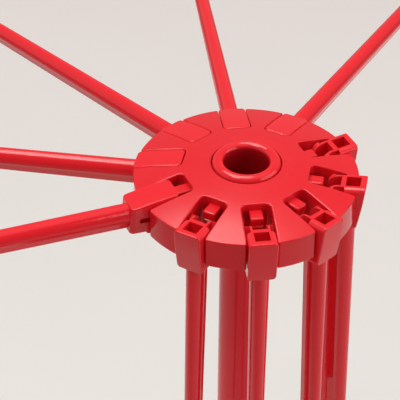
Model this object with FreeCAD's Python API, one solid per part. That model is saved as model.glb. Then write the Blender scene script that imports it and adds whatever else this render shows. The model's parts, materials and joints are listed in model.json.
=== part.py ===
import FreeCAD, Part
import math
import os

# Folding rack for drying pasta: a foot, a hollow column and a domed hub with ten arms.
# Each arm turns down on two pins and slides along them to lock on a tongue in its slot.
# The origin is the middle of the foot's underside; +Z is up; azimuth zero points to -Y.

# Arms
arm_count = 10
first_azimuth = 9.5
folded_arms = (1, 2, 8, 9, 10)
lifted_arms = (3,)
fold_angle = -86.0
lift_angle = 6.6

# Hub
rim_top = 430.0
hub_radius = 60.0
hub_rim_height = 17.0
dome_radius = 240.0
hub_edge_round = 0.7
slot_width = 15.6
slot_inner_radius = 33.7
slot_corner_round = 3.0
slot_mouth_round = 1.2
tongue_width = 7.2
tongue_rise = 1.5
tongue_drop = 5.4
tongue_tip_radius = 41.4
tongue_nose_drop = 3.0
tongue_nose_run = 1.5
tongue_round = 1.1
tongue_root = 2.0

# Pivot
pin_diameter = 3.0
pin_radius_on_hub = 52.0
pin_drop = 7.8
pin_seat = 4.0
pin_end_gap = 0.3
pin_clearance = 0.05
groove_clearance = 0.08

# Knuckle
knuckle_width = 15.0
knuckle_length = 26.3
pin_to_end = 10.3
slide_travel = 7.5
lifted_pull = 1.1
ear_depth = 8.8
ear_round = 7.0
ear_reach = 6.0
ear_gap_reach = 6.5
ear_gap_width = 7.8
body_depth = 7.4
end_round = 2.2
inner_round = 2.6
knuckle_edge_round = 0.8
lock_clearance = 0.35
pocket_depth = 8.0
bar_thickness = 2.6
groove_depth = 2.4
groove_spare = 2.4
groove_lead = 1.2
mouth_drop = 4.5

# Rod
arm_tip_radius = 240.0
rod_width = 10.4
rod_tip_width = 8.8
rod_crown = 6.7
rod_lip_drop = 1.8
rod_lip_inset = 0.65
rod_step = 0.2
rod_keel_drop = 6.9
rod_keel_inset = 1.1
rod_keel_bevel = 1.0
rod_tip_round = 3.0
rod_tip_turns = (0, 30, 60, 90)
rod_droop = 2.0
tenon_width = 6.0
tenon_height = 8.0
tenon_length = 8.0
tenon_clearance = 0.05

# Column and collar
column_diameter = 27.0
column_wall = 1.5
socket_clearance = 0.1
hub_socket_depth = 15.0
collar_skirt_diameter = 28.0
collar_diameter = 36.6
collar_recess_gap = 0.7
collar_seat_rise = 2.9
collar_round_rise = 6.3

# Foot
base_radius = 95.0
base_edge_height = 6.0
base_shoulder_height = 24.0
base_dome_mid_share = 0.55
base_dome_bulge_share = 0.74
base_wall = 3.0
base_rim_width = 5.0
cover_thickness = 2.5
cover_clearance = 0.15
cover_step = 3.0
pad_thickness = 2.0
pad_margin = 3.0
tower_wall = 4.0
tower_height = 54.0
tower_fillet = 9.0
socket_floor = 18.0
floor_thickness = 5.0

# Screw and plug
plug_height = 22.0
plug_seat_step = 0.4
screw_diameter = 4.0
screw_length = 20.0
screw_head_diameter = 8.0
screw_head_height = 2.6
screw_hole_clearance = 0.2

# Cuts run past the faces by this much
overrun = 5.0

# Derived sizes
slot_pitch = 360.0 / arm_count
dome_centre = -math.sqrt(dome_radius ** 2 - hub_radius ** 2)
dome_crown = dome_centre + dome_radius
pin_radius = pin_diameter / 2
column_radius = column_diameter / 2
column_inner_radius = column_radius - column_wall
plug_radius = column_inner_radius + plug_seat_step
socket_radius = column_radius + socket_clearance
knuckle_start = -pin_to_end
knuckle_end = knuckle_start + knuckle_length
pin_to_axis_locked = pin_radius_on_hub - slide_travel
pocket_width = tongue_width + 2 * lock_clearance
pocket_bottom = pin_drop - tongue_drop - lock_clearance
pocket_top = pin_drop + tongue_rise + lock_clearance
rod_tip = arm_tip_radius - pin_to_axis_locked
column_top = rim_top - hub_rim_height + hub_socket_depth
column_bottom = pad_thickness + socket_floor


def vec(x, y, z):
    return FreeCAD.Vector(x, y, z)


ORIGIN = vec(0, 0, 0)
AXIS_X = vec(1, 0, 0)
AXIS_Y = vec(0, 1, 0)
AXIS_Z = vec(0, 0, 1)


def block(x0, x1, width, z0, z1):
    """Box along X, centred on Y."""
    return Part.makeBox(x1 - x0, width, z1 - z0, vec(x0, -width / 2, z0))


def slab(outline, width):
    """Slab with an outline of (x, z) points, centred on Y."""
    points = [vec(x, -width / 2, z) for x, z in outline]
    return Part.Face(Part.makePolygon(points + points[:1])).extrude(vec(0, width, 0))


def turned(steps):
    """Solid of revolution about Z from (radius, height) steps; a pair of points is an arc."""
    edges = []
    here = steps[0]
    for step in steps[1:] + [steps[0]]:
        start = vec(here[0], 0, here[1])
        if isinstance(step[0], tuple):
            middle, end = step
            arc = Part.Arc(start, vec(middle[0], 0, middle[1]), vec(end[0], 0, end[1]))
            edges.append(arc.toShape())
            here = end
        else:
            edges.append(Part.LineSegment(start, vec(step[0], 0, step[1])).toShape())
            here = step
    face = Part.Face(Part.Wire(edges))
    return face.revolve(ORIGIN, AXIS_Z, 360)


def ring(outer, inner, z0, z1):
    """Tube about Z."""
    shell = Part.makeCylinder(outer, z1 - z0, vec(0, 0, z0))
    bore = Part.makeCylinder(inner, z1 - z0, vec(0, 0, z0))
    return shell.cut(bore)


def rounded(shape, radius, wanted):
    """Round the edges between two faces whose direction and middle point the test accepts."""
    chosen = []
    for edge in shape.Edges:
        middle = edge.valueAt((edge.FirstParameter + edge.LastParameter) / 2)
        faces = shape.ancestorsOfType(edge, Part.Face)
        if len(faces) == 2 and wanted(edge, middle):
            chosen.append(edge)
    return shape.makeFillet(radius, chosen)


def same(a, b):
    return abs(a - b) < pin_clearance


def upright(edge):
    ends = [v.Point for v in edge.Vertexes]
    return len(ends) == 2 and same(ends[0].x, ends[1].x) and same(ends[0].y, ends[1].y)


def azimuth(number):
    return first_azimuth - (number - 1) * slot_pitch


def in_slot(shape, number):
    """Bring a shape from the slot frame (X outwards, zero at the rim's height) to its slot."""
    moved = shape.copy()
    moved.rotate(ORIGIN, AXIS_Z, azimuth(number) - 90)
    moved.translate(vec(0, 0, rim_top))
    return moved


def on_pin(shape, number):
    """Bring a shape from the arm frame (pin at the origin) to its place in the photograph."""
    moved = shape.copy()
    if number in folded_arms:
        moved.rotate(ORIGIN, AXIS_Y, -fold_angle)
    elif number in lifted_arms:
        moved.translate(vec(lifted_pull, 0, 0))
        moved.rotate(ORIGIN, AXIS_Y, -lift_angle)
    else:
        moved.translate(vec(-slide_travel, 0, 0))
    moved.translate(vec(pin_radius_on_hub, 0, -pin_drop))
    return in_slot(moved, number)


def make_hub():
    body = Part.makeCylinder(hub_radius, hub_rim_height + dome_crown, vec(0, 0, -hub_rim_height))
    reach = hub_radius + overrun
    slot = block(slot_inner_radius, reach, slot_width, -hub_rim_height - overrun, dome_crown + overrun)
    slot = rounded(slot, slot_corner_round, lambda e, m: upright(e) and same(m.x, slot_inner_radius))
    turns = [k * slot_pitch + first_azimuth - 90 for k in range(arm_count)]
    for turn in turns:
        cut = slot.copy()
        cut.rotate(ORIGIN, AXIS_Z, turn)
        body = body.cut(cut)
    body = rounded(body, slot_mouth_round, lambda e, m: upright(e) and same(math.hypot(m.x, m.y), hub_radius))
    centre = vec(0, 0, dome_centre)
    body = body.common(Part.makeSphere(dome_radius, centre))
    on_dome = lambda e, m: same(m.distanceToPoint(centre), dome_radius)
    body = rounded(body, hub_edge_round, on_dome)
    body = rounded(body, hub_edge_round, lambda e, m: same(m.z, -hub_rim_height))

    tongue_side = [
        (slot_inner_radius - tongue_root, -tongue_drop),
        (tongue_tip_radius - tongue_nose_run, -tongue_drop),
        (tongue_tip_radius, -tongue_nose_drop),
        (tongue_tip_radius, tongue_rise),
        (slot_inner_radius - tongue_root, tongue_rise),
    ]
    tongue = slab(tongue_side, tongue_width)
    tongue = rounded(tongue, tongue_round, lambda e, m: m.x > slot_inner_radius)
    bore_half = slot_width / 2 + pin_seat
    bore = Part.makeCylinder(pin_radius + pin_clearance, 2 * bore_half,
                             vec(pin_radius_on_hub, -bore_half, -pin_drop), AXIS_Y)
    for turn in turns:
        piece = tongue.copy()
        piece.rotate(ORIGIN, AXIS_Z, turn)
        body = body.fuse(piece)
        hole = bore.copy()
        hole.rotate(ORIGIN, AXIS_Z, turn)
        body = body.cut(hole)

    recess_radius = collar_diameter / 2 + collar_recess_gap
    body = body.cut(Part.makeCylinder(recess_radius, dome_crown + overrun, vec(0, 0, collar_seat_rise)))
    ledge_bottom = hub_socket_depth - hub_rim_height
    body = body.cut(Part.makeCylinder(collar_skirt_diameter / 2, collar_seat_rise - ledge_bottom + overrun,
                                      vec(0, 0, ledge_bottom)))
    body = body.cut(Part.makeCylinder(socket_radius, hub_socket_depth + overrun,
                                      vec(0, 0, -hub_rim_height - overrun)))
    body.translate(vec(0, 0, rim_top))
    return body


def make_collar():
    bore = column_inner_radius
    skirt = collar_skirt_diameter / 2
    outer = collar_diameter / 2
    middle = (bore + outer) / 2
    seat = rim_top + collar_seat_rise
    shoulder = rim_top + collar_round_rise
    crown = shoulder + (outer - bore) / 2
    return turned([
        (bore, column_top),
        (skirt, column_top),
        (skirt, seat),
        (outer, seat),
        (outer, shoulder),
        ((middle, crown), (bore, shoulder)),
    ])


def make_knuckle():
    side = [
        (knuckle_start, dome_crown + pin_drop),
        (knuckle_start, -ear_depth),
        (ear_reach, -ear_depth),
        (ear_reach + ear_depth - body_depth, -body_depth),
        (knuckle_end, -body_depth),
        (knuckle_end, dome_crown + pin_drop),
    ]
    body = slab(side, knuckle_width)
    body = rounded(body, end_round, lambda e, m: upright(e) and same(m.x, knuckle_end))
    body = rounded(body, inner_round, lambda e, m: upright(e) and same(m.x, knuckle_start))
    centre = vec(-pin_to_axis_locked, 0, dome_centre + pin_drop)
    dome = Part.makeSphere(dome_radius, centre)
    dome.rotate(centre, AXIS_Z, 180)
    body = body.common(dome)
    body = rounded(body, knuckle_edge_round, lambda e, m: same(m.distanceToPoint(centre), dome_radius))

    before = knuckle_start - overrun
    below = -ear_depth - overrun
    body = body.cut(block(before, knuckle_start + pocket_depth, pocket_width, pocket_bottom, pocket_top))
    body = body.cut(block(before, ear_gap_reach, ear_gap_width, below, pocket_bottom - bar_thickness))
    corner = block(before, knuckle_start + ear_round, knuckle_width + overrun, below, ear_round - ear_depth)
    roller = Part.makeCylinder(ear_round, knuckle_width + overrun,
                               vec(knuckle_start + ear_round, -(knuckle_width + overrun) / 2,
                                   ear_round - ear_depth), AXIS_Y)
    body = body.cut(corner.cut(roller))

    groove_radius = pin_radius + groove_clearance
    groove_run = slide_travel + groove_spare
    floor = knuckle_width / 2 - groove_depth
    flare = (mouth_drop - groove_radius) / (-groove_lead - knuckle_start)
    channel_side = [
        (before, groove_radius),
        (before, -mouth_drop - flare * overrun),
        (-groove_lead, -groove_radius),
        (groove_run, -groove_radius),
        (groove_run, groove_radius),
    ]
    channel = slab(channel_side, groove_depth + overrun)
    for face in (-1, 1):
        cut = channel.copy()
        cut.translate(vec(0, face * (floor + (groove_depth + overrun) / 2), 0))
        body = body.cut(cut)
        end = Part.makeCylinder(groove_radius, groove_depth + overrun,
                                vec(groove_run, face * floor, 0), vec(0, face, 0))
        body = body.cut(end)

    socket = block(knuckle_end - tenon_length - tenon_clearance, knuckle_end + overrun,
                   tenon_width + 2 * tenon_clearance, -tenon_height / 2 - tenon_clearance,
                   tenon_height / 2 + tenon_clearance)
    return body.cut(socket)


def rod_section(x, share):
    """Outline across the rod: arched crown, lip, and drafted keel below a small step."""
    half = rod_width / 2
    lip = half - rod_lip_inset
    step = lip - rod_step
    keel = step - rod_keel_inset
    side = [(half, 0), (lip, -rod_lip_drop), (step, -rod_lip_drop),
            (keel, rod_keel_bevel - rod_keel_drop), (keel - rod_keel_bevel, -rod_keel_drop)]
    line = [vec(x, share * y, share * z) for y, z in side + [(-y, z) for y, z in reversed(side)]]
    edges = [Part.LineSegment(a, b).toShape() for a, b in zip(line, line[1:])]
    arch = Part.Ellipse(vec(x, 0, share * rod_crown), line[0], vec(x, 0, 0))
    ends = [arch.parameter(line[0]), arch.parameter(line[-1])]
    crown = [Part.ArcOfEllipse(arch, *pair) for pair in (ends, reversed(ends))]
    crown = max(crown, key=lambda arc: arc.value((arc.FirstParameter + arc.LastParameter) / 2).z)
    return Part.Wire(Part.__sortEdges__(edges + [crown.toShape()]))


def make_rod():
    start = knuckle_end - overrun
    half = rod_tip_width / 2
    stations = [(start, 1)]
    for turn in map(math.radians, rod_tip_turns):
        end = half - rod_tip_round * (1 - math.cos(turn))
        stations.append((rod_tip - rod_tip_round * (1 - math.sin(turn)), 2 * end / rod_width))
    body = Part.makeLoft([rod_section(x, share) for x, share in stations], True, True)
    body.rotate(vec(knuckle_end, 0, 0), AXIS_Y, rod_droop)
    body = body.cut(block(start - overrun, knuckle_end, 2 * rod_width, -rod_width, rod_width))
    tenon = block(knuckle_end - tenon_length, knuckle_end + tenon_length, tenon_width,
                  -tenon_height / 2, tenon_height / 2)
    return body.fuse(tenon).removeSplitter()


def make_pins():
    inner = knuckle_width / 2 - groove_depth + pin_end_gap
    outer = slot_width / 2 + pin_seat
    pins = []
    for face in (-1, 1):
        pins.append(Part.makeCylinder(pin_radius, outer - inner,
                                      vec(pin_radius_on_hub, face * inner, -pin_drop), vec(0, face, 0)))
    return Part.makeCompound(pins)


def make_base():
    bottom = pad_thickness
    cover_top = bottom + cover_thickness
    edge_top = bottom + base_edge_height
    shoulder = bottom + base_shoulder_height
    tower = socket_radius + tower_wall
    foot_of_tower = tower + tower_fillet
    top = bottom + tower_height
    floor = bottom + socket_floor
    under = floor - floor_thickness
    rim_inner = base_radius - base_rim_width
    step_inner = rim_inner - cover_step
    mid_radius = base_radius - (base_radius - foot_of_tower) * base_dome_mid_share
    mid_height = edge_top + (shoulder - edge_top) * base_dome_bulge_share
    lean = 1 - math.sqrt(2) / 2
    hole = screw_diameter / 2 + screw_hole_clearance
    return turned([
        (rim_inner, bottom),
        (base_radius, bottom),
        (base_radius, edge_top),
        ((mid_radius, mid_height), (foot_of_tower, shoulder)),
        ((tower + tower_fillet * lean, shoulder + tower_fillet * lean), (tower, shoulder + tower_fillet)),
        (tower, top),
        (socket_radius, top),
        (socket_radius, floor),
        (hole, floor),
        (hole, under),
        (socket_radius, under),
        (socket_radius, cover_top),
        (tower, cover_top),
        (tower, shoulder - base_wall),
        (foot_of_tower, shoulder - base_wall),
        ((mid_radius - base_wall, mid_height - base_wall), (step_inner, cover_top + base_wall)),
        (step_inner, cover_top),
        (rim_inner, cover_top),
    ])


def make_screw():
    under = pad_thickness + socket_floor - floor_thickness
    shank = Part.makeCylinder(screw_diameter / 2, screw_length, vec(0, 0, under))
    head = Part.makeCylinder(screw_head_diameter / 2, screw_head_height, vec(0, 0, under - screw_head_height))
    return shank.fuse(head).removeSplitter()


def make_column():
    tube = ring(column_radius, column_inner_radius, column_bottom, column_top)
    return tube.cut(Part.makeCylinder(plug_radius, plug_height, vec(0, 0, column_bottom)))


def make_plug():
    body = Part.makeCylinder(plug_radius, plug_height, vec(0, 0, column_bottom))
    depth = screw_length - floor_thickness
    return body.cut(Part.makeCylinder(screw_diameter / 2, depth, vec(0, 0, column_bottom)))


cover_radius = base_radius - base_rim_width - cover_clearance
nodes = {
    "hub": make_hub(),
    "column_collar": make_collar(),
    "column_tube": make_column(),
    "column_plug": make_plug(),
    "base_screw": make_screw(),
    "base_shell": make_base(),
    "base_cover": Part.makeCylinder(cover_radius, cover_thickness, vec(0, 0, pad_thickness)),
    "base_pad": Part.makeCylinder(base_radius - pad_margin, pad_thickness),
}
knuckle = make_knuckle()
rod = make_rod()
pins = make_pins()
for number in range(1, arm_count + 1):
    nodes["knuckle_%02d" % number] = on_pin(knuckle, number)
    nodes["rod_%02d" % number] = on_pin(rod, number)
    nodes["pins_%02d" % number] = in_slot(pins, number)

os.makedirs("parts", exist_ok=True)
for name, shape in nodes.items():
    shape.exportStep("parts/%s.step" % name)
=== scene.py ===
import json
import math

import bpy
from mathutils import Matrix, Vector

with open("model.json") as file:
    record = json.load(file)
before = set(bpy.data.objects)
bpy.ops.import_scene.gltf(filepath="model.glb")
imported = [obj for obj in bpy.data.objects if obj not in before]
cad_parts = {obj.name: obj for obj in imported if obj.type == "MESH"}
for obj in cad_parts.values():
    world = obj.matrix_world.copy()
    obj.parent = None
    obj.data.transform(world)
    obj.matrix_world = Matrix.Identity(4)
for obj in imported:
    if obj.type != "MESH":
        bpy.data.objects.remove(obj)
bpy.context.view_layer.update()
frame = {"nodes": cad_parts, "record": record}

# Colours of the plastic, linear
RED = (0.90, 0.015, 0.026)
DEEP_RED = (0.81, 0.011, 0.019)
PALE_RED = (0.95, 0.085, 0.100)
HUB_RED = (0.82, 0.012, 0.022)
HUB_DEEP_RED = (0.74, 0.009, 0.016)
COLUMN_RED = (0.96, 0.014, 0.032)
# Painted shade: the colours of slots, pockets and the inside of the column's bore
SLOT_SHADE_RED = (0.40, 0.005, 0.010)
POCKET_SHADE_RED = (0.74, 0.010, 0.018)
BORE_SHADE_RED = (0.46, 0.006, 0.012)

# Texture of the plastic: noise by its scale per metre, and how much of it shows
PLASTIC_IOR = 1.48
MOTTLE = {"scale": 38.0}
MOTTLE_SPAN = (0.35, 0.68)
MOTTLE_SHARE = 0.18
SPECK = {"scale": 2600.0, "detail": 2.0}
SPECK_SPAN = (0.66, 0.78)
SPECK_SHARE = 0.10
SMEAR = {"scale": 90.0, "detail": 5.0, "roughness": 0.6}
PEEL = {"scale": 420.0, "detail": 2.0}
PEEL_HEIGHT = 0.0002
GRAIN = {"scale": 5200.0, "detail": 2.0}
GRAIN_HEIGHT = 0.00004
WIDE_SPAN = (0.3, 0.7)

# Paler sharp edges, part rubbed wear and part painted highlight, by how sharp the surface is, and tops, by
# how level it is
EDGE_WEAR_AND_HIGHLIGHT_SPAN = (0.53, 0.62)
EDGE_WEAR_AND_HIGHLIGHT_SHARE = 0.30
LEVEL_SPAN = (0.955, 0.968)

# Painted shade in slots and pockets, darker inside by how much of the open space a point sees
RECESS_SHADE_REACH = 0.030
RECESS_SHADE_SPAN = (0.10, 0.50)

# Painted shade inside the column's bore, which light hardly reaches, by radius and height
BORE_SPAN = (0.0121, 0.0129)
BORE_DARK_SPAN = (0.4330, 0.4440)

# What each plastic piece has of its own, with the painted shade of its slots, pockets or bore
PLASTICS = {
    "hub_plastic": {"colour": HUB_RED, "deep": HUB_DEEP_RED, "rough": (0.08, 0.13), "satin": 0.14,
                    "recess_shade": SLOT_SHADE_RED},
    "collar_plastic": {"rough": (0.05, 0.09), "bore": True},
    "column_plastic": {"colour": COLUMN_RED, "deep": RED, "rough": (0.06, 0.10), "grain": 0.04, "bore": True,
                       "specular": 0.2},
    "base_plastic": {"rough": (0.16, 0.24), "grain": 0.04},
    "knuckle_plastic": {"rough": (0.08, 0.13), "satin": 0.10, "recess_shade": POCKET_SHADE_RED},
    "rod_plastic": {"rough": (0.03, 0.07)},
    "pin_plastic": {"rough": (0.24, 0.34), "grain": 0.10, "peel": 0.05},
    "plug_plastic": {"colour": DEEP_RED, "pale": RED, "rough": (0.45, 0.60), "grain": 0.30, "peel": 0.05},
    "cover_plastic": {"colour": DEEP_RED, "pale": RED, "rough": (0.45, 0.60), "grain": 0.30, "peel": 0.05},
}

# Rubber of the pad and zinc of the screw
GRAINED = {
    "pad_rubber": {
        "dark": (0.030, 0.030, 0.032), "light": (0.055, 0.054, 0.053), "tone": {"scale": 60.0},
        "rough": (0.62, 0.85), "smear": {"scale": 300.0}, "metallic": 0.0,
        "relief": {"scale": 1500.0}, "strength": 0.5, "height": 0.0002,
    },
    "screw_steel": {
        "dark": (0.52, 0.52, 0.54), "light": (0.66, 0.66, 0.68), "tone": {"scale": 700.0},
        "rough": (0.26, 0.44), "smear": {"scale": 1800.0}, "metallic": 1.0,
        "relief": {"scale": 3000.0, "detail": 2.0}, "strength": 0.3, "height": 0.00005,
    },
}

# Paper under the rack: its colours, the far one a painted shade, and where the far colour takes over
PAPER_HALF = 9.0
PAPER_ROUGHNESS = 0.9
PAPER = (0.735, 0.722, 0.694)
FAR_PAPER_SHADE = (0.686, 0.634, 0.614)
PAPER_BOUNCE = (0.42, 0.40, 0.385)
FAR_SPAN = (0.25, 0.92)
FIBRE = {"scale": 6.0}
FIBRE_SHARE = 0.04

# Paper as gloss shows it, with painted light behind the rack and around a spot, painted shade in front, and
# ending in the room
NEAR_PAPER_SHADE = (0.33, 0.32, 0.31)
ROOM_FLOOR = (0.17, 0.165, 0.16)
LIT_SLANT_SPAN = (-0.6, 0.5)
LIT_BEHIND_SPAN = (0.02, 0.22)
LIT_SPOT = (-0.1, 0.1)
LIT_SPOT_SPAN = (0.36, 0.50)
PAPER_END_SPAN = (1.05, 1.35)

# Room around the paper: the backdrop that shows, and the walls that gloss shows
BACKDROP = (0.74, 0.69, 0.66)
FRONT_ROOM = (0.14, 0.135, 0.13)
BACK_WALL = (0.36, 0.35, 0.34)
BACK_SPAN = (-0.35, 0.35)
LEFT_WALL = (0.60, 0.58, 0.56)
LEFT_SPAN = (-0.90, -0.40)
CEILING = (0.85, 0.83, 0.81)
CEILING_SPAN = (0.70, 0.87)

# Light
SKY_STRENGTH = 0.28
LAMP_COLOUR = (1.0, 0.985, 0.965)
LAMPS = {
    "softbox": {"strength": 1.85, "spread": 42, "towards": (-0.20, 0.19, 0.96)},
    "key": {"strength": 0.55, "spread": 22, "towards": (-0.345, -0.17, 0.92)},
    "fill": {"strength": 1.25, "spread": 60, "towards": (0.95, -0.20, 0.22)},
}

# Camera, in the photograph's direction
CAMERA_PLACE = (0.00483, -0.60087, 0.88312)
CAMERA_TURN = (51.845, -0.181, 2.936)
CAMERA_LENS = 127.43
CAMERA_SENSOR = 36


class Nodes:
    """A node tree, with short calls to add and join nodes."""

    def __init__(self, tree):
        self.tree = tree

    def add(self, kind, **inputs):
        node = self.tree.nodes.new(kind)
        for key, value in inputs.items():
            node.inputs[key].default_value = value
        return node

    def join(self, source, target):
        self.tree.links.new(source, target)

    def noise(self, scale, detail=3.0, roughness=0.55):
        node = self.add("ShaderNodeTexNoise", Scale=scale, Detail=detail, Roughness=roughness)
        self.join(self.add("ShaderNodeTexCoord").outputs["Object"], node.inputs["Vector"])
        return node.outputs["Fac"]

    def ramp(self, value, span, low=0.0, high=1.0):
        """Low before the span, high after it, and steadily from one to the other within."""
        node = self.add("ShaderNodeMapRange")
        self.join(value, node.inputs["Value"])
        for key, number in zip(("From Min", "From Max", "To Min", "To Max"), (*span, low, high)):
            node.inputs[key].default_value = number
        return node.outputs["Result"]

    def math(self, operation, *values):
        node = self.add("ShaderNodeMath")
        node.operation = operation
        for value, socket in zip(values, node.inputs):
            if isinstance(value, float):
                socket.default_value = value
            else:
                self.join(value, socket)
        return node.outputs["Value"]

    def split(self, vector):
        """X, Y and Z of a vector."""
        node = self.add("ShaderNodeSeparateXYZ")
        self.join(vector, node.inputs["Vector"])
        return [node.outputs[axis] for axis in "XYZ"]

    def place(self, kind):
        return self.split(self.add("ShaderNodeTexCoord").outputs[kind])

    def reach(self, x, y):
        """Distance of a point from the origin, in plan."""
        squares = [self.math("MULTIPLY", side, side) for side in (x, y)]
        return self.math("SQRT", self.math("ADD", *squares))

    def mix(self, share, first, second):
        node = self.add("ShaderNodeMix")
        node.data_type = "RGBA"
        self.join(share, node.inputs["Factor"])
        sockets = [socket for socket in node.inputs if socket.type == "RGBA"]
        for colour, socket in zip((first, second), sockets):
            if isinstance(colour, tuple):
                socket.default_value = (*colour, 1)
            else:
                self.join(colour, socket)
        return [socket for socket in node.outputs if socket.type == "RGBA"][0]

    def rays(self):
        """One for rays from the camera or through clear things, and one for rays from gloss."""
        path = self.add("ShaderNodeLightPath")
        shown = self.math("MAXIMUM", path.outputs["Is Camera Ray"], path.outputs["Is Transmission Ray"])
        return shown, path.outputs["Is Glossy Ray"]


class Finish(Nodes):
    """A material's nodes, with its shader."""

    def __init__(self, name):
        self.material = bpy.data.materials.new(name)
        self.material.use_nodes = True
        super().__init__(self.material.node_tree)
        self.shader = self.tree.nodes["Principled BSDF"]

    def vary(self, **outputs):
        """Give inputs of the shader a value that varies over the surface."""
        for key, output in outputs.items():
            self.join(output, self.shader.inputs[key.replace("_", " ")])

    def settle(self, **values):
        """Give inputs of the shader one value all over."""
        for key, value in values.items():
            self.shader.inputs[key.replace("_", " ")].default_value = value

    def bump(self, *reliefs):
        """Chain (height, strength, distance) reliefs into the shader's normal."""
        normal = None
        for height, strength, distance in reliefs:
            node = self.add("ShaderNodeBump", Strength=strength, Distance=distance)
            self.join(height, node.inputs["Height"])
            if normal is not None:
                self.join(normal, node.inputs["Normal"])
            normal = node.outputs["Normal"]
        self.vary(Normal=normal)


def plastic(name, rough, colour=RED, deep=DEEP_RED, pale=PALE_RED, grain=0.03, peel=0.02, satin=0.0,
            specular=0.5, recess_shade=None, bore=False):
    """Moulded plastic: faint mottling, rubbed edges with a painted highlight, painted shade in slots,
    pockets and bore, fine grain and slight flow waves.
    """
    n = Finish(name)
    body = n.mix(n.ramp(n.noise(**MOTTLE), MOTTLE_SPAN, high=MOTTLE_SHARE), colour, deep)
    body = n.mix(n.ramp(n.noise(**SPECK), SPECK_SPAN, high=SPECK_SHARE), body, pale)
    # Paler sharp edges: rubbed wear and a painted highlight
    edge = n.add("ShaderNodeNewGeometry").outputs["Pointiness"]
    body = n.mix(n.ramp(edge, EDGE_WEAR_AND_HIGHLIGHT_SPAN, high=EDGE_WEAR_AND_HIGHLIGHT_SHARE), body, pale)
    # Painted shade in slots and pockets, darker where a point sees little open space
    if recess_shade:
        hollow = n.add("ShaderNodeAmbientOcclusion", Distance=RECESS_SHADE_REACH)
        hollow.only_local = True
        body = n.mix(n.ramp(hollow.outputs["AO"], RECESS_SHADE_SPAN, 1.0, 0.0), body, recess_shade)
    # Painted shade inside the bore, darker further down
    if bore:
        x, y, z = n.place("Object")
        inside = n.ramp(n.reach(x, y), BORE_SPAN, 1.0, 0.0)
        depth = n.ramp(z, BORE_DARK_SPAN, 1.0, 0.0)
        body = n.mix(n.math("MULTIPLY", inside, depth), body, BORE_SHADE_RED)
    roughness = n.ramp(n.noise(**SMEAR), WIDE_SPAN, *rough)
    if satin:
        up = n.split(n.add("ShaderNodeNewGeometry").outputs["Normal"])[2]
        roughness = n.math("ADD", roughness, n.ramp(up, LEVEL_SPAN, high=satin))
    n.vary(Base_Color=body, Roughness=roughness)
    n.bump((n.noise(**PEEL), peel, PEEL_HEIGHT), (n.noise(**GRAIN), grain, GRAIN_HEIGHT))
    n.settle(IOR=PLASTIC_IOR, Specular_IOR_Level=specular)
    return n.material


def grained(name, dark, light, tone, rough, smear, relief, strength, height, metallic):
    """Rubber or zinc: two tones, uneven gloss and a fine relief."""
    n = Finish(name)
    n.vary(Base_Color=n.mix(n.ramp(n.noise(**tone), WIDE_SPAN), dark, light))
    n.vary(Roughness=n.ramp(n.noise(**smear), WIDE_SPAN, *rough))
    n.bump((n.noise(**relief), strength, height))
    n.settle(Metallic=metallic)
    return n.material


def dress():
    """Give each piece the finish of its material slot."""
    finishes = {name: plastic(name, **facts) for name, facts in PLASTICS.items()}
    finishes.update({name: grained(name, **facts) for name, facts in GRAINED.items()})
    slots = {part["node"]: part["material_slot"] for part in frame["record"]["subparts"]}
    for node, thing in frame["nodes"].items():
        thing.data.materials.clear()
        thing.data.materials.append(finishes[slots[node]])


def paper():
    """Pale paper, darker further off by painted shade, which gloss shows with painted light and shade, paler
    by the rack than further off.
    """
    n = Finish("paper")
    x, y = n.place("Object")[:2]
    # Painted shade: the paper darker further off
    sheet = n.mix(n.ramp(y, FAR_SPAN), PAPER, FAR_PAPER_SHADE)
    sheet = n.mix(n.ramp(n.noise(**FIBRE), WIDE_SPAN, high=FIBRE_SHARE), sheet, PAPER_BOUNCE)
    # Painted light and painted shade in the paper as gloss shows it
    slant = n.ramp(n.math("ADD", x, y), LIT_SLANT_SPAN)
    behind = n.ramp(y, LIT_BEHIND_SPAN)
    off_spot = [n.math("SUBTRACT", side, middle) for side, middle in zip((x, y), LIT_SPOT)]
    spot = n.ramp(n.reach(*off_spot), LIT_SPOT_SPAN, 1.0, 0.0)
    lit = n.math("MAXIMUM", n.math("MAXIMUM", slant, behind), spot)
    mirrored = n.mix(lit, NEAR_PAPER_SHADE, sheet)
    mirrored = n.mix(n.ramp(n.reach(x, y), PAPER_END_SPAN), mirrored, ROOM_FLOOR)
    shown, gloss = n.rays()
    n.vary(Base_Color=n.mix(gloss, n.mix(shown, PAPER_BOUNCE, sheet), mirrored))
    n.settle(Roughness=PAPER_ROUGHNESS, Specular_IOR_Level=0.0)
    return n.material


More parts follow.
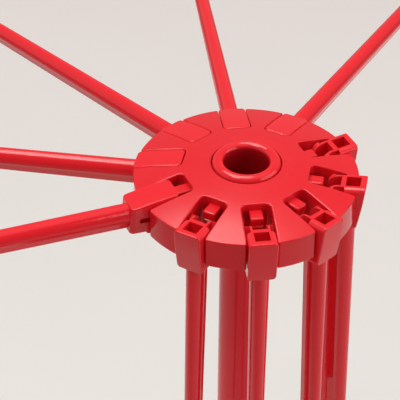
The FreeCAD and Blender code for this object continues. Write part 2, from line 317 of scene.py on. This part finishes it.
def make_floor():
    corners = [(x * PAPER_HALF, y * PAPER_HALF, 0) for x, y in ((-1, -1), (1, -1), (1, 1), (-1, 1))]
    mesh = bpy.data.meshes.new("paper")
    mesh.from_pydata(corners, [], [(0, 1, 2, 3)])
    mesh.materials.append(paper())
    floor = bpy.data.objects.new("paper", mesh)
    bpy.context.scene.collection.objects.link(floor)


def make_room():
    """Even sky for the light, a plain backdrop to look at, and walls and a ceiling for gloss."""
    world = bpy.data.worlds.new("studio")
    bpy.context.scene.world = world
    world.use_nodes = True
    n = Nodes(world.node_tree)
    sky = n.tree.nodes["Background"]
    sky.inputs["Color"].default_value = (*LAMP_COLOUR, 1)
    sky.inputs["Strength"].default_value = SKY_STRENGTH
    x, y, z = n.place("Generated")
    room = n.mix(n.ramp(y, BACK_SPAN), FRONT_ROOM, BACK_WALL)
    room = n.mix(n.ramp(x, LEFT_SPAN, 1.0, 0.0), room, LEFT_WALL)
    room = n.mix(n.ramp(z, CEILING_SPAN), room, CEILING)
    shown, gloss = n.rays()
    wall = n.add("ShaderNodeBackground")
    n.join(n.mix(gloss, BACKDROP, room), wall.inputs["Color"])
    either = n.add("ShaderNodeMixShader")
    n.join(n.math("MAXIMUM", shown, gloss), either.inputs["Fac"])
    n.join(sky.outputs["Background"], either.inputs[1])
    n.join(wall.outputs["Background"], either.inputs[2])
    n.join(either.outputs["Shader"], n.tree.nodes["World Output"].inputs["Surface"])


def make_lamps():
    for name, facts in LAMPS.items():
        data = bpy.data.lights.new(name, "SUN")
        data.energy = facts["strength"]
        data.angle = math.radians(facts["spread"])
        data.color = LAMP_COLOUR
        lamp = bpy.data.objects.new(name, data)
        lamp.rotation_euler = Vector(facts["towards"]).to_track_quat("Z", "Y").to_euler()
        bpy.context.scene.collection.objects.link(lamp)


def make_camera():
    data = bpy.data.cameras.new("camera")
    data.lens = CAMERA_LENS
    data.sensor_width = CAMERA_SENSOR
    camera = bpy.data.objects.new("camera", data)
    camera.location = CAMERA_PLACE
    camera.rotation_euler = [math.radians(turn) for turn in CAMERA_TURN]
    bpy.context.scene.collection.objects.link(camera)
    bpy.context.scene.camera = camera


dress()
make_floor()
make_room()
make_lamps()
make_camera()
bpy.context.scene.view_settings.view_transform = "Standard"
